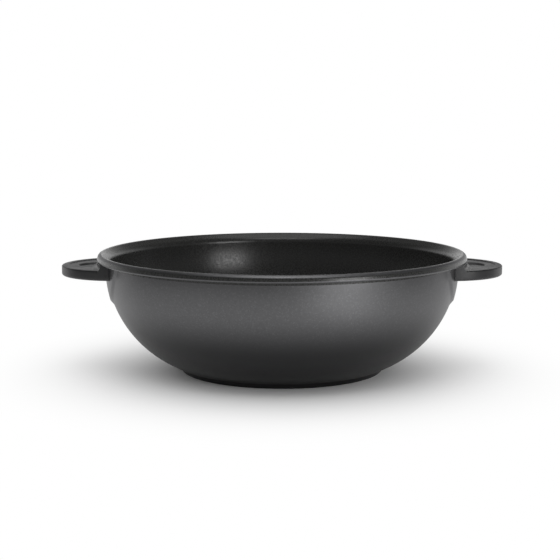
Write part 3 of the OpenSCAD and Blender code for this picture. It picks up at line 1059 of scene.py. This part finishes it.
class WOK_OT_studio(bpy.types.Operator):
    """Makes the floor, the surroundings, the soft lights and the camera"""
    bl_idname = "wok.make_studio"
    bl_label = "Studio"

    # Name, place, the point that it faces, width, height, and the property with its power
    SOFTBOXES = (("top softbox", (0.0, 0.075, 1.40), (0, 0.075, 0), 0.85, 1.05, "top"),
                 ("front softbox", (0.0, -0.775, 1.40), (0, -0.775, 0), 0.85, 0.65, "front_top"),
                 ("right softbox", (1.30, -1.53, 0.36), (0, 0, 0.10), 0.80, 0.9, "right"))
    FLOOR_SIDE, FLOOR_BACK = 0.62, 12.0  # from the axis to its edges
    SHADOW_REACH = (0.08, 0.31)  # plain floor within, white beyond
    PAINTED_POOL_PLACE = (0.20, -0.34, 0.0)
    PAINTED_POOL_REACH = (0.02, 0.17)  # painted pool of light: full within, none beyond
    ROOM = (0.05, 0.65)  # dim in front below this Y, white above
    SKY = (0.10, 0.50)  # and full below this Z, dim above
    SKY_SHARE = 0.1  # of that, overhead
    DOME_SHARES = (0.4, 1.6)  # of its brightness, in front and behind
    SENSOR_MM = 36.0
    FAR_END = 60.0

    def execute(self, context):
        s = context.scene.wok_studio
        context.scene.view_settings.view_transform = "Standard"
        self.floor(s)
        self.surroundings(context, s)
        for *box, power in self.SOFTBOXES:
            self.softbox(*box, getattr(s, power))
        self.camera(context, s)
        return {"FINISHED"}

    def floor(self, s):
        """Pale floor that keeps the wok's shadow and turns white away from it, with a painted
        pool of light that only reflections see.
        """
        side, back = self.FLOOR_SIDE, self.FLOOR_BACK
        verts = [(-side, -side, 0), (side, -side, 0), (side, back, 0), (-side, back, 0)]
        floor = make_object("studio_floor", verts, [(0, 1, 2, 3)])
        material, tree, shader = new_material("studio floor")
        preset(shader, Base_Color=(*s.floor, 1.0), Roughness=0.9, Specular_IOR_Level=0.0)
        white = tree.nodes.new("ShaderNodeEmission")
        path = tree.nodes.new("ShaderNodeLightPath").outputs
        # painted pool of light: the floor glows brighter at the wok's right front, for
        # reflections only
        bright = ramp(tree, distance_from(tree, self.PAINTED_POOL_PLACE), *self.PAINTED_POOL_REACH, s.pool, 0.0)
        pool = product(tree, bright, path["Is Glossy Ray"])
        feed(tree, total(tree, 1.0, pool), white.inputs["Strength"])
        seen = total(tree, path["Is Camera Ray"],
                     total(tree, path["Is Glossy Ray"], path["Is Transmission Ray"]),
                     clamp=True)
        far = ramp(tree, distance_from(tree, (0.0, 0.0, 0.0)), *self.SHADOW_REACH)
        blend = tree.nodes.new("ShaderNodeMixShader")
        for part, socket in zip((product(tree, far, seen), shader.outputs[0], white.outputs[0]),
                                blend.inputs):
            feed(tree, part, socket)
        feed(tree, blend.outputs[0], tree.nodes["Material Output"].inputs["Surface"])
        floor.data.materials.append(material)

    def surroundings(self, context, s):
        """White to the camera. Reflections see it white behind the wok and dim in front."""
        world = bpy.data.worlds.new("studio")
        world.use_nodes = True
        context.scene.world = world
        tree = world.node_tree
        light = preset(tree.nodes["Background"], Color=(1, 1, 1, 1))
        path = tree.nodes.new("ShaderNodeLightPath").outputs
        towards = axes(tree, tree.nodes.new("ShaderNodeTexCoord").outputs["Generated"])
        mirrors = total(tree, path["Is Glossy Ray"], path["Is Transmission Ray"], clamp=True)
        room = product(tree, ramp(tree, towards["Y"], *self.ROOM, s.front, 1.0),
                       ramp(tree, towards["Z"], *self.SKY, 1.0, self.SKY_SHARE))
        dome = ramp(tree, towards["Y"], -1.0, 1.0, *(k * s.dome for k in self.DOME_SHARES))
        strength = total(tree, product(tree, room, mirrors),
                         product(tree, maths(tree, "SUBTRACT", 1.0, mirrors), dome))
        camera = path["Is Camera Ray"]
        unseen = product(tree, strength, maths(tree, "SUBTRACT", 1.0, camera))
        feed(tree, total(tree, unseen, camera), light.inputs["Strength"])

    def softbox(self, name, place, aim, width, height, watts):
        """A rectangular light that faces a point."""
        data = bpy.data.lights.new(name, "AREA")
        data.shape = "RECTANGLE"
        data.size, data.size_y = width, height
        data.energy = watts
        towards = Vector(aim) - Vector(place)
        add_object(name, data, place, towards.to_track_quat("-Z", "Y").to_euler())

    def camera(self, context, s):
        """The camera that the photo was taken with, as fitted to it."""
        data = bpy.data.cameras.new("photo camera")
        data.sensor_width = self.SENSOR_MM
        data.lens = s.lens
        data.clip_end = self.FAR_END
        place = (s.distance * math.sin(s.turn), -s.distance * math.cos(s.turn), s.height)
        turned = (math.pi / 2 - s.pitch, 0.0, s.turn + s.aim)
        context.scene.camera = add_object(data.name, data, place, turned)


class WOK_PT_panel(bpy.types.Panel):
    """Sizes, finishes and the steps that build the wok"""
    bl_idname = "WOK_PT_panel"
    bl_label = "Cast nonstick wok"
    bl_space_type = "VIEW_3D"
    bl_region_type = "UI"
    bl_category = "Wok"

    def draw(self, context):
        for name in GROUPS:
            group, box = getattr(context.scene, name), self.layout.box()
            box.label(text=name.split("_")[1].capitalize())
            for size in group.bl_rna.properties.keys():
                if size not in ("rna_type", "name"):
                    box.prop(group, size)
        for operator in OPERATORS:
            self.layout.operator(operator.bl_idname)


GROUPS = {"wok_bowl": WokBowlSizes, "wok_grip": WokGripSizes, "wok_finish": WokFinish,
          "wok_studio": WokStudio}
OPERATORS = (WOK_OT_bowl, WOK_OT_lining, WOK_OT_grips, WOK_OT_fasteners, WOK_OT_studio)
CLASSES = (*GROUPS.values(), *OPERATORS, WOK_PT_panel)


def register():
    for item in CLASSES:
        bpy.utils.register_class(item)
    for name, group in GROUPS.items():
        setattr(bpy.types.Scene, name, PointerProperty(type=group))


def unregister():
    for name in GROUPS:
        delattr(bpy.types.Scene, name)
    for item in reversed(CLASSES):
        bpy.utils.unregister_class(item)


def main():
    register()
    bpy.ops.wok.make_bowl()
    bpy.ops.wok.make_lining()
    bpy.ops.wok.make_grips()
    bpy.ops.wok.make_fasteners()
    bpy.ops.wok.make_studio()


if __name__ == "__main__":
    main()
